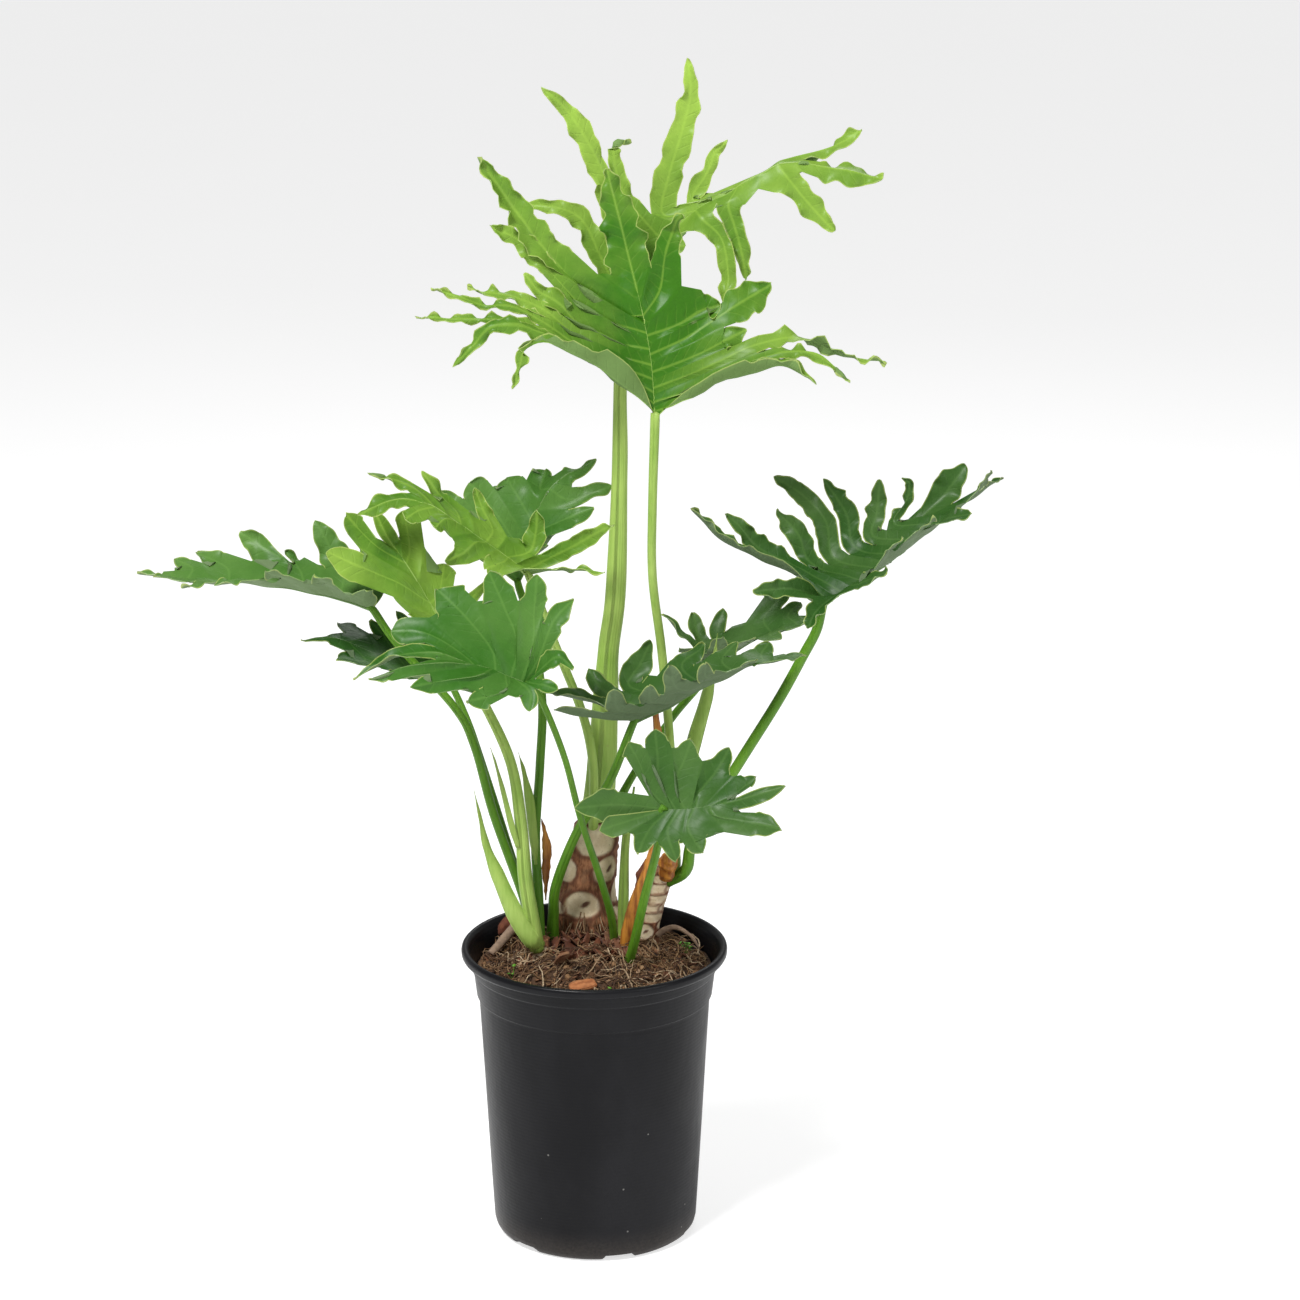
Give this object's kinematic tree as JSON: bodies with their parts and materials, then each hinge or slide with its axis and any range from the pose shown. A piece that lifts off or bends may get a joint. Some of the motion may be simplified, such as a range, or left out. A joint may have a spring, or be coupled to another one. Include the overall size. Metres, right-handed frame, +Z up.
{
  "type": "potted philodendron",
  "caption": "Tree philodendron with deeply lobed leaves on long stalks, short scarred trunks and a shoot, growing in a tapered black nursery pot.",
  "frame": {"origin": "centre of the pot's flat underside, on the surface that it stands on", "axes": "+Z up along the pot's axis; -Y is the plant's front; +X is to the right seen from the front"},
  "size_m": [0.6994, 0.2216, 0.968],
  "materials": {
    "pot_plastic": "dusty matt black, moulded",
    "potting_mix": "damp fibrous peat and bark",
    "bark": "red-brown bark with cream leaf scars",
    "wood": "weathered bare wood",
    "dry_sheath": "dry papery orange-brown",
    "green_stalk": "smooth waxy green",
    "pale_stalk": "smooth waxy yellow-green",
    "young_leaf": "soft glossy yellow-green leaf",
    "mid_leaf": "leathery mid-green leaf",
    "dark_leaf": "leathery dark green leaf"
  },
  "bodies": {
    "root": {"pot": "pot_plastic", "potting_mix": "potting_mix", "stalk_top_front": "pale_stalk", "stalk_top_back": "pale_stalk", "stalk_right": "green_stalk", "stalk_right_low": "green_stalk", "stalk_right_back": "green_stalk", "stalk_left_far": "green_stalk", "stalk_left_low": "green_stalk", "stalk_left_bright": "pale_stalk", "stalk_left_high": "pale_stalk", "stalk_left_back": "green_stalk", "stalk_left_front": "green_stalk", "stalk_front_small": "green_stalk", "main_trunk": "bark", "right_trunk": "bark", "offshoot": "bark", "cut_stalk_end": "dry_sheath", "young_shoot": "pale_stalk", "root_right": "bark", "bark_twig": "bark", "wood_stick": "wood", "sheath_left": "pale_stalk", "sheath_middle": "pale_stalk", "sheath_right": "pale_stalk", "sheath_spear": "pale_stalk", "dry_sheath": "dry_sheath", "dry_edge": "dry_sheath", "bark_chunk": "bark", "bark_chip": "bark", "dry_leaf_chip": "wood", "blade_top_front": "young_leaf", "blade_top_back": "young_leaf", "blade_right": "dark_leaf", "blade_right_low": "dark_leaf", "blade_right_back": "dark_leaf", "blade_left_far": "mid_leaf", "blade_left_low": "dark_leaf", "blade_left_bright": "young_leaf", "blade_left_high": "young_leaf", "blade_left_back": "mid_leaf", "blade_left_front": "mid_leaf", "blade_front_small": "dark_leaf"}
  },
  "joints": []
}
